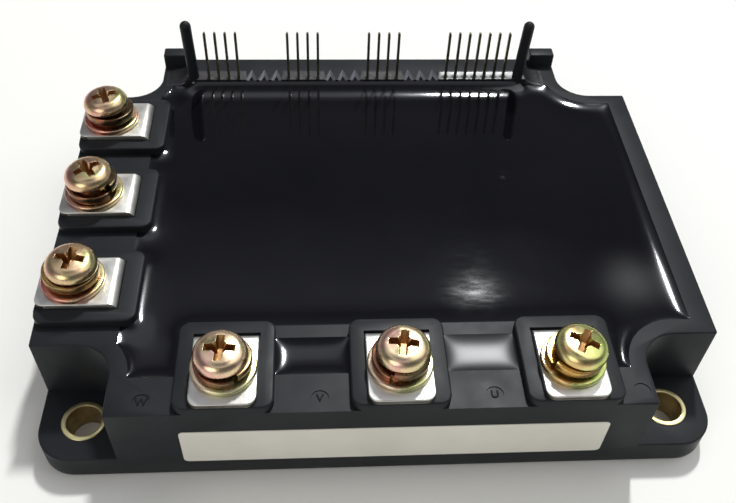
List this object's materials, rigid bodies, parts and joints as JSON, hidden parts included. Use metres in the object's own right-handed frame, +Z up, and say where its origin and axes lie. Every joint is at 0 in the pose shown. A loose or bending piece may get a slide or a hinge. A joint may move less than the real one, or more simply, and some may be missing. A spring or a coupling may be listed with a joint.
{
  "type": "intelligent power module",
  "caption": "Potted intelligent power module: black notched case with corner mounting flanges, screw terminals on two sides and a row of signal pins between guide pins.",
  "frame": {"origin": "middle of the underside of the base plate", "axes": "+X along the case to the right, +Y to the back where the signal pins stand, +Z up"},
  "size_m": [0.109, 0.0881, 0.0319],
  "materials": {
    "base_metal": "nickel-plated copper, flat ground",
    "case_plastic": "moulded black PPS, fine matte grain",
    "collar_brass": "plain turned brass",
    "terminal_tin": "tin-plated copper, satin",
    "yellow_zinc": "zinc plate with yellow passivation",
    "nut_steel": "zinc-plated steel",
    "pin_metal": "dull plated bronze",
    "board_laminate": "green glass laminate",
    "driver_plastic": "black moulding compound",
    "gel": "clear soft silicone",
    "substrate_ceramic": "white ceramic with metal faces",
    "silicon": "bare metallised silicon",
    "bond_aluminium": "drawn wire",
    "potting": "poured black epoxy, glossy",
    "label_film": "satin silver-white film, blank"
  },
  "bodies": {
    "root": {"base_plate": "base_metal", "case_frame": "case_plastic", "mount_collars": "collar_brass", "terminal_u": "terminal_tin", "terminal_v": "terminal_tin", "terminal_w": "terminal_tin", "terminal_n": "terminal_tin", "terminal_p": "terminal_tin", "terminal_b": "terminal_tin", "terminal_screws": "yellow_zinc", "spring_washers": "yellow_zinc", "flat_washers": "yellow_zinc", "terminal_nuts": "nut_steel", "signal_pin_01": "pin_metal", "signal_pin_02": "pin_metal", "signal_pin_03": "pin_metal", "signal_pin_04": "pin_metal", "signal_pin_05": "pin_metal", "signal_pin_06": "pin_metal", "signal_pin_07": "pin_metal", "signal_pin_08": "pin_metal", "signal_pin_09": "pin_metal", "signal_pin_10": "pin_metal", "signal_pin_11": "pin_metal", "signal_pin_12": "pin_metal", "signal_pin_13": "pin_metal", "signal_pin_14": "pin_metal", "signal_pin_15": "pin_metal", "signal_pin_16": "pin_metal", "signal_pin_17": "pin_metal", "signal_pin_18": "pin_metal", "signal_pin_19": "pin_metal", "control_board": "board_laminate", "driver_chip_1": "driver_plastic", "driver_chip_2": "driver_plastic", "driver_chip_3": "driver_plastic", "driver_chip_4": "driver_plastic", "silicone_gel": "gel", "substrate_u": "substrate_ceramic", "substrate_v": "substrate_ceramic", "substrate_w": "substrate_ceramic", "igbt_chip_1": "silicon", "igbt_chip_2": "silicon", "igbt_chip_3": "silicon", "igbt_chip_4": "silicon", "igbt_chip_5": "silicon", "igbt_chip_6": "silicon", "igbt_chip_7": "silicon", "diode_chip_1": "silicon", "diode_chip_2": "silicon", "diode_chip_3": "silicon", "diode_chip_4": "silicon", "diode_chip_5": "silicon", "diode_chip_6": "silicon", "diode_chip_7": "silicon", "bond_wires": "bond_aluminium", "potting_resin": "potting", "blank_label": "label_film"}
  },
  "joints": []
}
